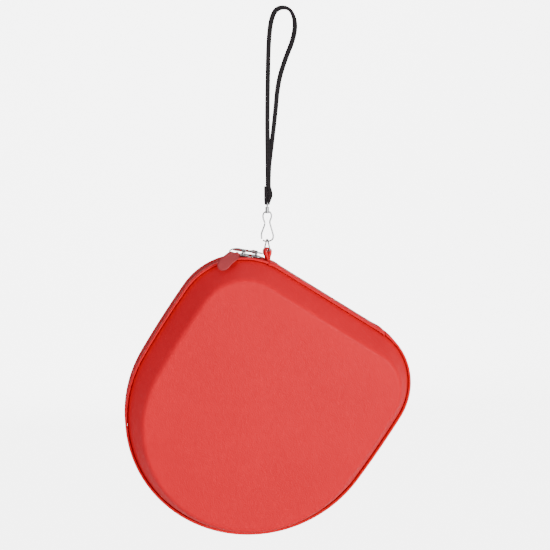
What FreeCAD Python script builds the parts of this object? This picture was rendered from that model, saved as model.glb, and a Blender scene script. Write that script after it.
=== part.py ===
"""Hard zip case for a racket-sport paddle, hanging from its wrist strap.

Frame: millimetres, +X right, +Z up, the front of the case faces -Y.
The origin is the inside of the strap's loop, at its top, where a hand holds it.
The halves are drawn in a flat case plane: x across, y towards the straight spine edge,
z out of the face.  FRONT and BACK then hang that plane from the strap.
"""

import FreeCAD, Part
import math
import os

import Sketcher
from FreeCAD import Placement, Rotation, Vector

os.makedirs("parts", exist_ok=True)
doc = FreeCAD.newDocument("paddle_case")

# ---------------------------------------------------------------- driving dimensions

DIMENSIONS = {
    # outline of the rim: one large round end, two corners, a straight spine edge
    "bottom_radius": 103.3,
    "corner_radius": 54.2,
    "corner_across": 49.3,
    "corner_up": 55.8,
    "side_radius": 800.0,
    # outline of the raised face panel
    "face_bottom_radius": 89.5,
    "face_drop": 3.8,
    "face_corner_radius": 37.0,
    "face_corner_across": 53.0,
    "face_corner_up": 59.5,
    # section through one half
    "half_depth": 27.5,
    "root_height": 4.8,
    "root_inset": 1.95,
    "rim_half": 8.0,
    "edge_bevel": 2.0,
    "skin_thickness": 0.8,
    "core_thickness": 2.55,
    "lining_thickness": 0.6,
    "layer_gap": 0.05,
    "piping_width": 1.85,
    "tape_inset": 0.5,
    "tape_thickness": 0.6,
    "coil_depth": 1.4,
    "coil_width": 1.8,
    "strip_thickness": 0.4,
    # spine strip and strap tab
    "strip_left": 59.0,
    "strip_right": 53.0,
    "tab_width": 4.8,
    "tab_thickness": 1.0,
    "tab_hole_radius": 1.4,
    # zipper sliders, at angles about the left corner's centre
    "slider_front_angle": 121.0,
    "slider_back_angle": 111.0,
    "slider_length": 7.6,
    "slider_half_width": 3.8,
    "plate_thickness": 1.2,
    "slider_gap": 0.3,
    "eye_height": 3.4,
    "eye_hole_radius": 0.85,
    "eye_radius": 1.6,
    "mouth_half": 1.3,
    # metal wire
    "wire_radius": 0.55,
    "pull_ring_radius": 5.45,
    "ring_tilt": 12.0,
    "tab_ring_turn": 19.0,
    "hook_wire_radius": 0.6,
    # pull tongues
    "pull_length": 22.0,
    "pull_width": 9.5,
    "pull_thickness": 1.7,
    # strap
    "cord_radius": 1.5,
    "sewn_left": 2.3,
    "sewn_right": 4.0,
    "sewn_depth": 5.0,
    # where the case hangs below the grip
    "hang_angle": -33.4,
    "case_left": 23.2,
    "case_down": 314.4,
    "hook_left": 12.8,
}

sheet = doc.addObject("Spreadsheet::Sheet", "dims")
for row, (alias, value) in enumerate(DIMENSIONS.items(), start=1):
    sheet.set(f"A{row}", alias)
    sheet.set(f"B{row}", str(value))
    sheet.setAlias(f"B{row}", alias)
doc.recompute()


def dim(alias):
    """The value of one sheet cell."""
    return float(getattr(sheet, alias))


FINISHED = []


def finish(obj, label):
    """Name a finished sub-part and list it for export."""
    obj.Label = label
    FINISHED.append(obj)
    return obj


# ---------------------------------------------------------------- places

TURN_UP = Rotation(Vector(1, 0, 0), 90)
HANG = Rotation(Vector(0, 0, 1), dim("hang_angle"))
CASE_ORIGIN = Vector(-dim("case_left"), 0, -dim("case_down"))
FRONT = Placement(CASE_ORIGIN, TURN_UP * HANG)
BACK = FRONT * Placement(Vector(0, 0, 0), Rotation(Vector(0, 1, 0), 180))
CORNER = Vector(-dim("corner_across"), dim("corner_up"), 0)


def in_case(x, y, z=0.0):
    """A point of the case plane, in the hanging frame."""
    return FRONT.multVec(Vector(x, y, z))


def frame_of(origin, x_axis, z_axis):
    """A placement with its x axis and its z axis along two directions."""
    x_dir = Vector(x_axis).normalize()
    z_dir = Vector(z_axis).normalize()
    y_dir = z_dir.cross(x_dir)
    return Placement(origin, Rotation(x_dir, y_dir, z_dir, "ZXY"))


# ---------------------------------------------------------------- sketches


def origin_plane(body, role):
    """One of a body's own origin planes."""
    return next(f for f in body.Origin.OriginFeatures if f.Role == role)


def new_sketch(body, name, height=None):
    """A sketch on a body's XY plane, raised by a sheet expression."""
    sketch = body.newObject("Sketcher::SketchObject", name)
    sketch.AttachmentSupport = [(origin_plane(body, "XY_Plane"), "")]
    sketch.MapMode = "FlatFace"
    if height:
        sketch.setExpression("AttachmentOffset.Base.z", height)
    return sketch


def side_centre(bottom_r, corner_r, side_r, across, rise):
    """Centre of the right side's arc, which touches the bottom arc and the corner arc."""
    spacing = math.hypot(across, rise)
    to_bottom, to_corner = side_r - bottom_r, side_r - corner_r
    along = (to_bottom**2 - to_corner**2 + spacing**2) / (2 * spacing)
    off = math.sqrt(to_bottom**2 - along**2)
    unit_x, unit_y = across / spacing, rise / spacing
    return Vector(along * unit_x - off * unit_y, along * unit_y + off * unit_x, 0)


def add_outline(sketch, kind, inset):
    """Add the six tangent edges of an outline, set in by a sheet expression.

    kind is "" for the rim or "face_" for the raised panel.
    """
    drop = dim("face_drop") if kind else 0.0
    drop_cell = "dims.face_drop" if kind else "0 mm"
    inset_value = float(sketch.evalExpression(inset))
    bottom_r = dim(kind + "bottom_radius") - inset_value
    corner_r = dim(kind + "corner_radius") - inset_value
    side_r = dim("side_radius") - inset_value
    across, up = dim(kind + "corner_across"), dim(kind + "corner_up")
    centre = side_centre(bottom_r, corner_r, side_r, across, up + drop) - Vector(0, drop, 0)
    corner, foot = Vector(across, up, 0), Vector(0, -drop, 0)

    def arc(middle, radius, start, end):
        turn = [math.atan2(p.y - middle.y, p.x - middle.x) for p in (start, end)]
        circle = Part.Circle(middle, Vector(0, 0, 1), radius)
        return Part.ArcOfCircle(circle, turn[0], turn[1])

    def mirrored(point):
        return Vector(-point.x, point.y, 0)

    low = foot + (foot - centre).normalize() * bottom_r
    high = corner + (corner - centre).normalize() * corner_r
    top = corner + Vector(0, corner_r, 0)
    edges = [
        arc(foot, bottom_r, mirrored(low), low),
        arc(centre, side_r, low, high),
        arc(corner, corner_r, high, top),
        Part.LineSegment(top, mirrored(top)),
        arc(mirrored(corner), corner_r, mirrored(top), mirrored(high)),
        arc(mirrored(centre), side_r, mirrored(high), mirrored(low)),
    ]
    first = sketch.addGeometry(edges, False)[0]
    for step in range(6):
        here, after = first + step, first + (step + 1) % 6
        sketch.addConstraint(Sketcher.Constraint("Tangent", here, 2, after, 1))
    sizes = [
        (0, f"dims.{kind}bottom_radius - ({inset})"),
        (1, f"dims.side_radius - ({inset})"),
        (2, f"dims.{kind}corner_radius - ({inset})"),
        (4, f"dims.{kind}corner_radius - ({inset})"),
        (5, f"dims.side_radius - ({inset})"),
    ]
    for step, expression in sizes:
        radius = sketch.Geometry[first + step].Radius
        index = sketch.addConstraint(Sketcher.Constraint("Radius", first + step, radius))
        sketch.setExpression(f"Constraints[{index}]", expression)
    places = [
        (2, across, up, f"dims.{kind}corner_across", f"dims.{kind}corner_up"),
        (4, -across, up, f"-dims.{kind}corner_across", f"dims.{kind}corner_up"),
    ]
    for step, x, y, x_cell, y_cell in places:
        for axis, value, cell in (("DistanceX", x, x_cell), ("DistanceY", y, y_cell)):
            rule = Sketcher.Constraint(axis, -1, 1, first + step, 3, value)
            index = sketch.addConstraint(rule)
            sketch.setExpression(f"Constraints[{index}]", cell)
    for axis, value, cell in (("DistanceX", 0.0, "0 mm"), ("DistanceY", -drop, f"-{drop_cell}")):
        index = sketch.addConstraint(Sketcher.Constraint(axis, -1, 1, first, 3, value))
        sketch.setExpression(f"Constraints[{index}]", cell)


# ---------------------------------------------------------------- solid helpers


def bowl(name, depth, place):
    """A solid filling of one half, set in from the outer surface by a sheet expression."""
    body = doc.addObject("PartDesign::Body", name)
    levels = [
        ("", f"dims.root_inset + {depth}", "dims.root_height"),
        ("face_", depth, f"dims.half_depth - dims.edge_bevel - ({depth})"),
        ("face_", f"dims.edge_bevel + {depth}", f"dims.half_depth - ({depth})"),
    ]
    sketches = []
    for number, (kind, inset, height) in enumerate(levels):
        sketch = new_sketch(body, f"{name}_level_{number}", height)
        add_outline(sketch, kind, inset)
        sketches.append(sketch)
    loft = body.newObject("PartDesign::AdditiveLoft", name + "_loft")
    loft.Profile, loft.Sections, loft.Ruled = sketches[0], sketches[1:], True
    body.Placement = place
    return body


def shell_layer(label, outer_depth, inner_depth, place):
    """One layer of a moulded half: an outer filling less an inner one."""
    outer = bowl(label + "_outer", outer_depth, place)
    inner = bowl(label + "_inner", inner_depth, place)
    return finish(cut(label + "_layer", outer, inner), label)


def ring_pad(name, outer_inset, inner_inset, low, high, place):
    """A band that follows the rim between two insets and two heights."""
    body = doc.addObject("PartDesign::Body", name)
    sketch = new_sketch(body, name + "_section", low)
    add_outline(sketch, "", outer_inset)
    if inner_inset:
        add_outline(sketch, "", inner_inset)
    pad = body.newObject("PartDesign::Pad", name + "_pad")
    pad.Profile = sketch
    pad.setExpression("Length", f"({high}) - ({low})")
    body.Placement = place
    return body


def box(name, x_span, y_span, z_span, place):
    """A box between pairs of values in a placed frame."""
    block = doc.addObject("Part::Box", name)
    spans = (x_span, y_span, z_span)
    block.Length, block.Width, block.Height = (high - low for low, high in spans)
    block.Placement = place * Placement(Vector(*(low for low, _ in spans)), Rotation())
    return block


def cylinder(name, radius, low, high, place):
    """A cylinder along the z axis of a placed frame."""
    rod = doc.addObject("Part::Cylinder", name)
    rod.Radius, rod.Height = radius, high - low
    rod.Placement = place * Placement(Vector(0, 0, low), Rotation())
    return rod


def torus(name, large, small, place):
    """A round ring of wire about the z axis of a placed frame."""
    ring = doc.addObject("Part::Torus", name)
    ring.Radius1, ring.Radius2 = large, small
    ring.Placement = place
    return ring


def cut(name, base, tool):
    """One piece less another."""
    result = doc.addObject("Part::Cut", name)
    result.Base, result.Tool = base, tool
    return result


def common(name, base, tool):
    """What two pieces share."""
    result = doc.addObject("Part::Common", name)
    result.Base, result.Tool = base, tool
    return result


def joined(name, pieces):
    """The union of several pieces."""
    union = doc.addObject("Part::MultiFuse", name)
    union.Shapes = pieces
    return union


def sector(name, inner, outer, half_width, start, end):
    """Part of a tube about the left corner's axis, between two angles."""
    about = FRONT * Placement(CORNER - Vector(0, 0, half_width), Rotation(Vector(0, 0, 1), start))
    walls = []
    for word, radius in (("outer", outer), ("inner", inner)):
        wall = doc.addObject("Part::Cylinder", f"{name}_{word}")
        wall.Radius, wall.Height, wall.Angle = radius, 2 * half_width, end - start
        wall.Placement = about
        walls.append(wall)
    return cut(name, *walls)


def rounded_route(points, largest=None, closed=False):
    """Straight runs joined by tangent arcs, each as large as its two runs allow."""
    count = len(points)
    bends, radii = {}, []
    for index in range(count) if closed else range(1, count - 1):
        here = points[index]
        back, ahead = points[index - 1] - here, points[(index + 1) % count] - here
        half_turn = (math.pi - back.getAngle(ahead)) / 2
        radius = 0.45 * min(back.Length, ahead.Length) / math.tan(half_turn)
        radius = min(radius, largest) if largest else radius
        trim = radius * math.tan(half_turn)
        radii.append(radius)
        back, ahead = Vector(back).normalize(), Vector(ahead).normalize()
        inward = (back + ahead).normalize()
        reach = radius / math.cos(half_turn) - radius
        bends[index] = (here + back * trim, here + inward * reach, here + ahead * trim)
    edges = []
    for index in range(count if closed else count - 1):
        after = (index + 1) % count
        start = bends[index][2] if index in bends else points[index]
        end = bends[after][0] if after in bends else points[after]
        edges.append(Part.LineSegment(start, end).toShape())
        if after in bends:
            edges.append(Part.Arc(*bends[after]).toShape())
    return Part.Wire(edges), radii


def wire_form(label, points, radius, largest=None, closed=False):
    """A bent round wire or cord, swept along a rounded route."""
    route, radii = rounded_route(points, largest, closed)
    first = route.Edges[0]
    start = first.valueAt(first.FirstParameter)
    along = first.tangentAt(first.FirstParameter)
    section = Part.Wire([Part.Circle(start, along, radius).toShape()])
    form = doc.addObject("Part::Feature", label)
    form.Shape = route.makePipeShell([section], True, True)
    form.Placement = Placement()
    print(f"{label}: route {route.Length:.1f} mm, smallest radius {min(radii):.1f} mm,", end=" ")
    print(f"volume ratio {form.Shape.Volume / (math.pi * radius**2 * route.Length):.4f}")
    return finish(form, label)


# ---------------------------------------------------------------- the two halves


def layer_depths():
    """Sheet expressions for each layer's outer and inner depth."""
    skin = "dims.skin_thickness"
    core_out = f"{skin} + dims.layer_gap"
    core_in = f"{core_out} + dims.core_thickness"
    lining_out = f"{core_in} + dims.layer_gap"
    return {
        "skin": ("0", skin),
        "core": (core_out, core_in),
        "lining": (lining_out, f"{lining_out} + dims.lining_thickness"),
    }


STRIP_SPACE = (80.0, 130.0)


def strip_block(name, extra, place, flip):
    """The block of space over the spine strip, in the case plane of a half."""
    left, right = -dim("strip_left") - extra, dim("strip_right") + extra
    x_span = (-right, -left) if flip else (left, right)
    reach = dim("rim_half") + 1.0
    return box(name, x_span, STRIP_SPACE, (-reach, reach), place)


def mouth(name):
    """The short open stretch of zipper between the two sliders."""
    ends = (dim("slider_back_angle") - 3.0, dim("slider_front_angle") + 3.0)
    rim = dim("corner_radius")
    return sector(name, rim - 5, rim + 1, dim("mouth_half"), *ends)


def half_case(side, place, flip):
    """Skin, foam core, lining, piping, zipper tape and coil of one half."""
    for layer, (outer, inner) in layer_depths().items():
        shell_layer(f"{side}_{layer}", outer, inner, place)
    tape_in = "dims.tape_inset + dims.tape_thickness"
    coil_out, coil_in = f"{tape_in} + dims.layer_gap", f"{tape_in} + dims.coil_depth"
    tape_high = "dims.root_height - dims.layer_gap"
    bands = [
        ("piping", "0", "dims.piping_width", "dims.root_height", "dims.rim_half"),
        ("zip_tape", "dims.tape_inset", tape_in, "dims.layer_gap", tape_high),
        ("zip_coil", coil_out, coil_in, "dims.layer_gap", "dims.coil_width"),
    ]
    for word, outer, inner, low, high in bands:
        name = f"{side}_{word}"
        ring = ring_pad(name + "_ring", outer, inner, low, high, place)
        band = cut(name + "_open", ring, strip_block(name + "_spine", 0.1, place, flip))
        if word != "piping":
            band = cut(name + "_parted", band, mouth(name + "_mouth"))
        finish(band, name)


def spine_strip():
    """The fabric strip along the straight edge, the fold that the lid turns on."""
    half = "dims.rim_half"
    band = ring_pad("strip_ring", "0", "dims.strip_thickness", f"-{half}", half, FRONT)
    strip = common("strip_cut", band, strip_block("strip_space", 0.0, FRONT, False))
    return finish(strip, "spine_strip")


half_case("front", FRONT, False)
half_case("back", BACK, True)
spine_strip()

# ---------------------------------------------------------------- inside

LAYERS = ("skin_thickness", "core_thickness", "lining_thickness")
FLOOR = dim("half_depth") - sum(dim(name) for name in LAYERS) - 2 * dim("layer_gap")
NET_HIGH = FLOOR - 3.0
NET_THICKNESS = 0.5
NET_TOP = 5.0
BINDING_HALF = 83.0
STRAP_HALF = 60.0
PATCH_END = 76.0


def net_pocket():
    """A net across the lower part of the lid, with an elastic binding along its top."""
    spans = ((-110, 110), (-120, NET_TOP), (NET_HIGH - NET_THICKNESS, NET_HIGH))
    sheet_space = box("net_space", *spans, FRONT)
    outline = bowl("net_outline", "dims.core_thickness + 2.5", FRONT)
    finish(common("net_cut", outline, sheet_space), "net_pocket")
    spans = (-BINDING_HALF, BINDING_HALF), (NET_TOP + 0.05, NET_TOP + 10)
    binding = box("binding", *spans, (NET_HIGH - 0.7, NET_HIGH + 0.3), FRONT)
    finish(binding, "net_binding")


def paddle_strap():
    """An elastic band across the back half, sewn down under a patch at each end."""
    band = box("band", (-STRAP_HALF, STRAP_HALF), (5, 35), (FLOOR - 2.0, FLOOR - 0.8), BACK)
    finish(band, "paddle_strap")
    patches = doc.addObject("Part::Compound", "patches")
    ends = [(-PATCH_END, -STRAP_HALF - 0.05), (STRAP_HALF + 0.05, PATCH_END)]
    patches.Links = [
        box(f"patch_{number}", ends[number], (3, 37), (FLOOR - 2.0, FLOOR - 0.05), BACK)
        for number in range(2)
    ]
    finish(patches, "strap_patches")


net_pocket()
paddle_strap()

# ---------------------------------------------------------------- zipper sliders

RIM = dim("corner_radius")
TAPE_OUT = RIM - dim("tape_inset")
COIL_IN = TAPE_OUT - dim("tape_thickness") - dim("coil_depth")
PLATE_LOW = TAPE_OUT + dim("slider_gap")
PLATE_HIGH = PLATE_LOW + dim("plate_thickness")
UNDER_HIGH = COIL_IN - dim("slider_gap")
UNDER_LOW = UNDER_HIGH - 0.9
EYE_AT = RIM + dim("eye_height")
EYE_HALF = 0.8
POST_HALF = 1.1
POST_SEAT = 0.2
NECK_CLEARANCE = 0.5
NECK_HALF_ANGLE = 1.2
THROUGH = 3.0

# the folded root of a pull tongue
FOLD_RADIUS = 1.5
FOLD_BORE = 0.9
FOLD_LENGTH = 3.3
FOLD_LAP = 0.1


def slider(name, angle, across):
    """Two plates joined by a neck, with an eye on top for the pull ring.

    The eye's hole runs across the zipper, or along it when across is False.
    """
    spread = math.degrees(dim("slider_length") / RIM) / 2
    half = dim("slider_half_width")
    neck_half = dim("mouth_half") - NECK_CLEARANCE
    ends = (angle - spread, angle + spread)
    top = sector(name + "_top", PLATE_LOW, PLATE_HIGH, half, *ends)
    under = sector(name + "_under", UNDER_LOW, UNDER_HIGH, half, *ends)
    neck_ends = (angle - NECK_HALF_ANGLE, angle + NECK_HALF_ANGLE)
    neck = sector(name + "_neck", UNDER_LOW, PLATE_HIGH, neck_half, *neck_ends)
    radial = FRONT * Placement(CORNER, Rotation(Vector(0, 0, 1), angle))
    turn = Rotation() if across else Rotation(Vector(1, 0, 0), 90)
    at_eye = radial * Placement(Vector(EYE_AT, 0, 0), turn)
    eye = cylinder(name + "_eye", dim("eye_radius"), -EYE_HALF, EYE_HALF, at_eye)
    foot = PLATE_LOW + POST_SEAT - EYE_AT
    post = box(name + "_post", (foot, 0), (-POST_HALF, POST_HALF), (-EYE_HALF, EYE_HALF), at_eye)
    whole = joined(name + "_whole", [top, under, neck, eye, post])
    hole = cylinder(name + "_hole", dim("eye_hole_radius"), -THROUGH, THROUGH, at_eye)
    finish(cut(name + "_cut", whole, hole), name)
    return at_eye.Base


def pull_ring(label, eye, reach, through):
    """A round wire ring through a slider's eye, lying towards one direction."""
    large = dim("pull_ring_radius")
    place = frame_of(eye + reach * large, reach, reach.cross(through))
    return finish(torus(label + "_wire", large, dim("wire_radius"), place), label)


def pull_tongue(label, hold, along, hinge_axis):
    """A leather tongue folded over a pull ring's wire, with a rounded free end."""
    normal = Vector(along).cross(hinge_axis).normalize()
    place = frame_of(hold, along, normal)
    hinge = frame_of(hold, normal, hinge_axis)
    half, thick = dim("pull_width") / 2, dim("pull_thickness") / 2
    straight = dim("pull_length") - half
    end = place * Placement(Vector(straight, 0, 0), Rotation())
    pieces = [
        box(label + "_plate", (FOLD_LENGTH - FOLD_LAP, straight), (-half, half), (-thick, thick), place),
        cylinder(label + "_nose", half, -thick, thick, end),
        box(label + "_neck", (0, FOLD_LENGTH), (-FOLD_RADIUS, FOLD_RADIUS), (-thick, thick), place),
        cylinder(label + "_fold", FOLD_RADIUS, -FOLD_RADIUS, FOLD_RADIUS, hinge),
    ]
    bore = cylinder(label + "_bore", FOLD_BORE, -THROUGH, THROUGH, hinge)
    return finish(cut(label + "_cut", joined(label + "_whole", pieces), bore), label)


EYE_FRONT = slider("slider_front", dim("slider_front_angle"), True)
EYE_BACK = slider("slider_back", dim("slider_back_angle"), False)
LEFT, FORWARD = Vector(-1, 0, 0), Vector(0, -1, 0)
RING_TILT = math.radians(dim("ring_tilt"))
TILTED = Vector(0, -math.cos(RING_TILT), -math.sin(RING_TILT))
pull_ring("pull_ring_front", EYE_FRONT, LEFT, TILTED)
HOLD_FRONT = EYE_FRONT + (LEFT + TILTED) * dim("pull_ring_radius")
pull_tongue("pull_tongue_front", HOLD_FRONT, Vector(-15.4, -14.2, -8.0), Vector(1, 0, 0))

turned = math.radians(dim("slider_back_angle") + dim("hang_angle"))
RADIAL_BACK = Vector(math.cos(turned), 0, math.sin(turned))
TANGENT_BACK = Vector(-math.sin(turned), 0, math.cos(turned))
RING_DIP = math.radians(10.0)
BACK_REACH = Vector(0, math.cos(RING_DIP), 0) - RADIAL_BACK * math.sin(RING_DIP)
pull_ring("pull_ring_back", EYE_BACK, BACK_REACH, TANGENT_BACK)
HOLD_BACK = EYE_BACK + BACK_REACH * (2 * dim("pull_ring_radius"))
pull_tongue("pull_tongue_back", HOLD_BACK, TANGENT_BACK * 0.66 + Vector(0, 0.75, -0.2), TANGENT_BACK)

# ---------------------------------------------------------------- strap tab and its ring

HOOK_X = -dim("hook_left")
HOOK_FOOT = Vector(HOOK_X, 0, -175.8)
RING_FOOT = Vector(HOOK_X, 0, -183.2)
TAB_RING_HALF_BASE, TAB_RING_BEND = 5.1, 1.4
TAB_ROOT = in_case(-58.6, 108.6)
UP = Vector(0, 0, 1)


def strap_tab():
    """A folded strip whose round top hangs on the ring; its foot is sewn to the rim."""
    hole = dim("tab_hole_radius")
    outer = hole + dim("tab_thickness")
    half = dim("tab_width") / 2
    down = TAB_ROOT - RING_FOOT
    place = frame_of(RING_FOOT, down, FORWARD)
    eye = cylinder("tab_eye", outer, -half, half, place)
    legs = box("tab_legs", (0, down.Length), (-outer, outer), (-half, half), place)
    bore = cylinder("tab_bore", hole, -half - 1, half + 1, place)
    slot = box("tab_slot", (0, down.Length - 3.0), (-hole, hole), (-half - 1, half + 1), place)
    fold = cut("tab_fold", joined("tab_whole", [eye, legs]), joined("tab_hollow", [bore, slot]))
    rim = ring_pad("tab_rim", "-0.05", None, "-dims.rim_half", "dims.rim_half", FRONT)
    return finish(cut("tab_cut", fold, rim), "strap_tab")


def tab_ring():
    """A three-cornered wire ring, narrow over the hook and wide through the tab."""
    turn = math.radians(dim("tab_ring_turn"))
    side = Vector(math.sin(turn), -math.cos(turn), 0)
    height = HOOK_FOOT.z - RING_FOOT.z
    turn_in = math.asin(TAB_RING_BEND / math.hypot(height, TAB_RING_HALF_BASE))
    slope = math.atan2(height, TAB_RING_HALF_BASE) + turn_in
    top = RING_FOOT + UP * TAB_RING_HALF_BASE * math.tan(slope)
    points = [RING_FOOT - side * TAB_RING_HALF_BASE, RING_FOOT + side * TAB_RING_HALF_BASE, top]
    return wire_form("tab_ring", points, dim("wire_radius"), TAB_RING_BEND, closed=True)


strap_tab()
tab_ring()

# ---------------------------------------------------------------- snap hook and swivel


def at_hook(x, z):
    """A point beside the line that the hook hangs on."""
    return Vector(HOOK_X + x, 0, z)


HOOK_ROUTE = [
    at_hook(-1.9, -161.2),
    at_hook(-3.5, -156.6),
    at_hook(-2.7, -152.6),
    at_hook(2.7, -152.6),
    at_hook(3.5, -156.6),
    at_hook(1.7, -160.4),
    at_hook(3.6, -167.0),
    at_hook(4.9, -171.8),
    at_hook(4.2, -174.6),
    at_hook(1.6, -175.8),
    at_hook(-1.6, -175.8),
    at_hook(-3.4, -174.9),
]
GATE_ROUTE = [
    at_hook(-1.9, -161.7),
    at_hook(-2.3, -163.6),
    at_hook(-4.7, -169.8),
    at_hook(-4.35, -173.8),
]
wire_form("hook_frame", HOOK_ROUTE, dim("hook_wire_radius"))
wire_form("hook_gate", GATE_ROUTE, dim("hook_wire_radius"))


# heights down the hook line
BARREL_FOOT, BARREL_TOP = -153.6, -148.8
CHAMBER_FOOT, CHAMBER_TOP = -151.4, -149.6
HEAD_FOOT, HEAD_TOP = -151.2, -150.2
CROSS_HEIGHT = -152.6
EYE_HEIGHT = -146.2
SHANK_TOP = -147.8
SEWN_FOOT, SEWN_TOP = -143.7, -133.0
# radii of the swivel's pieces
BARREL_RADIUS, CHAMBER_RADIUS, THROAT_RADIUS = 1.5, 1.1, 0.65
HEAD_RADIUS, SHANK_RADIUS = 1.0, 0.6
EYE_RING_RADIUS, EYE_WIRE_RADIUS = 1.8, 0.5
CROSS_CLEARANCE = 0.05
SEWN_LEG_HALF = 1.0
SEWN_LEG_INNER = 1.2


def swivel():
    """A barrel with a cross hole for the hook, turning on the eye's headed pin."""
    upright = Placement(Vector(HOOK_X, 0, 0), Rotation())
    shell = cylinder("barrel_shell", BARREL_RADIUS, BARREL_FOOT, BARREL_TOP, upright)
    chamber = cylinder("barrel_chamber", CHAMBER_RADIUS, CHAMBER_FOOT, CHAMBER_TOP, upright)
    throat = cylinder("barrel_throat", THROAT_RADIUS, CHAMBER_FOOT, BARREL_TOP + 1, upright)
    across = frame_of(at_hook(0, CROSS_HEIGHT), UP, Vector(1, 0, 0))
    cross_radius = dim("hook_wire_radius") + CROSS_CLEARANCE
    cross = cylinder("barrel_cross", cross_radius, -THROUGH, THROUGH, across)
    hollow = joined("barrel_hollow", [chamber, throat, cross])
    finish(cut("barrel_cut", shell, hollow), "swivel_barrel")
    sideways = frame_of(at_hook(0, EYE_HEIGHT), UP, Vector(1, 0, 0))
    ring = torus("eye_ring", EYE_RING_RADIUS, EYE_WIRE_RADIUS, sideways)
    shank = cylinder("eye_shank", SHANK_RADIUS, HEAD_FOOT, SHANK_TOP, upright)
    head = cylinder("eye_head", HEAD_RADIUS, HEAD_FOOT, HEAD_TOP, upright)
    finish(joined("eye_whole", [ring, shank, head]), "swivel_eye")


def sewn_end():
    """The folded and stitched end of the strap, which passes through the swivel's eye."""
    upright = Placement(Vector(HOOK_X, 0, 0), Rotation())
    left, right = -dim("sewn_left"), dim("sewn_right")
    half_y = dim("sewn_depth") / 2
    block_span = (SEWN_FOOT, SEWN_TOP)
    block = box("sewn_block", (left, right), (-half_y, half_y), block_span, upright)
    leg_depth, leg_height = (-SEWN_LEG_HALF, SEWN_LEG_HALF), (EYE_HEIGHT, SEWN_FOOT)
    leg_spans = [(left, -SEWN_LEG_INNER), (SEWN_LEG_INNER, -left)]
    legs = [
        box(f"sewn_leg_{number}", span, leg_depth, leg_height, upright)
        for number, span in enumerate(leg_spans)
    ]
    sideways = frame_of(at_hook(0, EYE_HEIGHT), UP, Vector(1, 0, 0))
    bar = cylinder("sewn_bar", SEWN_LEG_HALF, left, -left, sideways)
    return finish(joined("sewn_whole", [block, *legs, bar]), "strap_sewn_end")


swivel()
sewn_end()

# ---------------------------------------------------------------- wrist cord

CORD_ROUTE = [
    Vector(-12.4, -1.6, -133.0),
    Vector(-12.4, -1.6, -121.0),
    Vector(-12.9, -1.4, -85.0),
    Vector(-12.3, -1.0, -45.0),
    Vector(-11.6, -0.6, -22.0),
    Vector(-9.8, -0.3, -7.0),
    Vector(-5.5, 0.0, 1.5),
    Vector(4.5, 0.0, 1.5),
    Vector(9.0, 0.3, -9.0),
    Vector(7.2, 0.5, -22.0),
    Vector(1.2, 0.7, -36.0),
    Vector(-4.4, 1.0, -54.0),
    Vector(-6.4, 1.3, -78.0),
    Vector(-9.6, 1.5, -105.0),
    Vector(-11.6, 1.6, -121.0),
    Vector(-11.6, 1.6, -133.0),
]
wire_form("wrist_cord", CORD_ROUTE, dim("cord_radius"))

# ---------------------------------------------------------------- check and write

doc.recompute()
for obj in doc.Objects:
    if {"Invalid", "Error"} & set(obj.State):
        raise RuntimeError(f"{obj.Name} failed: {obj.State}")
for obj in FINISHED:
    shape = obj.Shape
    if shape.isNull() or not shape.isValid() or shape.Volume <= 0:
        raise RuntimeError(f"{obj.Label} has no valid shape")
for obj in FINISHED:
    obj.Shape.exportStep(f"parts/{obj.Label}.step")
    print(f"{obj.Label}: {obj.Shape.Volume:.1f} mm3, {len(obj.Shape.Solids)} solid(s)")
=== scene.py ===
"""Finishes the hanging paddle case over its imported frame: shells, zipper, strap, hook and stage."""

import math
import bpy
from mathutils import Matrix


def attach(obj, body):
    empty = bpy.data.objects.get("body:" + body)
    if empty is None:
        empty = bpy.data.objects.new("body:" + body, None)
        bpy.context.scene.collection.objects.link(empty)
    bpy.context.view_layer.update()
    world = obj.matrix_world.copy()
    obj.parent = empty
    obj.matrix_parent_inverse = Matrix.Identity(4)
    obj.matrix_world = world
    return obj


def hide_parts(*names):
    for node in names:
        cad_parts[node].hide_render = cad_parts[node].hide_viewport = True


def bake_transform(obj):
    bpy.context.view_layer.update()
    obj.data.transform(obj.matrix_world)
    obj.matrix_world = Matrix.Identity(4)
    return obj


bl_info = {
    "name": "Hanging Paddle Case",
    "version": (1, 0, 0),
    "blender": (4, 5, 0),
    "location": "3D View > Sidebar > Paddle Case",
    "description": "Finished pieces and materials of a moulded zip case on a wrist strap",
    "category": "Object",
}

import bmesh
import bpy
from bpy.props import FloatProperty, FloatVectorProperty, IntProperty, PointerProperty
from mathutils import Vector

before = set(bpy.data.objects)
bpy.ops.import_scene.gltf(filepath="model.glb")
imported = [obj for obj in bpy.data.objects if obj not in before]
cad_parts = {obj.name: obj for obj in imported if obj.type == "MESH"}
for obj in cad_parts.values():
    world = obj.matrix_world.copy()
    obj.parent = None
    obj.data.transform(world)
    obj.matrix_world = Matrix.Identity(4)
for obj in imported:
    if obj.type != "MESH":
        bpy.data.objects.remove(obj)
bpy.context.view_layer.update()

# Shapes are worked out in millimetres and written to meshes in metres.
MM = 0.001
HANG_ANGLE = math.radians(-33.4)
CASE_X, CASE_Z = -23.2, -314.4
HOOK_X = -12.8
TAB_TURN = math.radians(19.0)
SPINE_Y = 110.0
STRIP_LEFT, STRIP_RIGHT = -59.0, 53.0
SPINE_REACH = 30

# Zipper parts, in from the rim and up from the middle plane.
PIPING_IN, PIPING_UP, PIPING_HALF_IN, PIPING_HALF_UP = 0.93, 6.42, 0.96, 1.62
TAPE_IN, TAPE_HALF, TAPE_LOW, TAPE_TOP = 0.8, 0.3, 0.06, 4.75
COIL_IN, COIL_UP, COIL_SLANT = 1.52, 0.8, 0.18
SEAM_IN, SEAM_UP = 0.46, 3.95
GAP_FROM, GAP_TO, GAP_EASE, GAP_OPEN = 107.5, 124.5, 1.5, 1.25

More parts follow.
